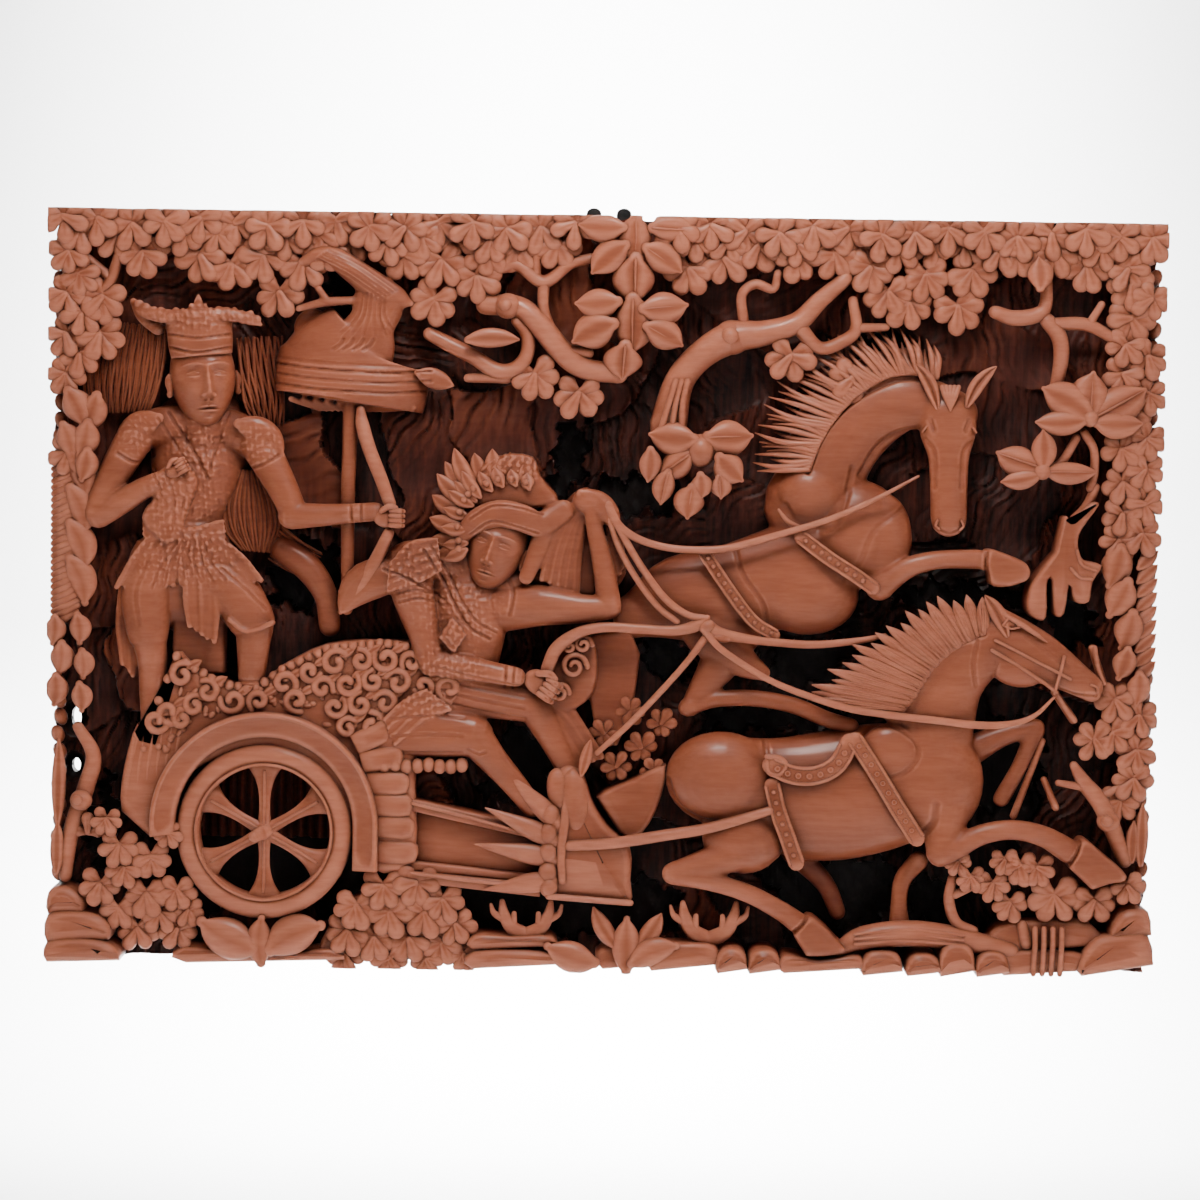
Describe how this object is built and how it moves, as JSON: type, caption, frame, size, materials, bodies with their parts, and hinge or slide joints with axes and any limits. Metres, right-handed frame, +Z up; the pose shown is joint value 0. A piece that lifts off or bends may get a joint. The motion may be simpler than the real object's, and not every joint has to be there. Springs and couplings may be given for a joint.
{
  "type": "carved wall panel",
  "caption": "Wooden wall panel carved in deep relief with a chariot, horses, figures, branches and a leaf border, with a steel hanging plate on its back.",
  "frame": {"origin": "middle of the hanging plate's back face, which lies on the wall near the top of the panel", "axes": "+X to the viewer's right along the panel's width, +Y from the carving into the wall, +Z up"},
  "size_m": [1.0042, 0.0804, 0.6934],
  "materials": {
    "carved_wood": "reddish brown oiled hardwood, satin, darker in the recesses",
    "black_steel": "black painted flat steel"
  },
  "bodies": {
    "root": {"carved_panel": "carved_wood", "hanger": "black_steel"}
  },
  "joints": []
}
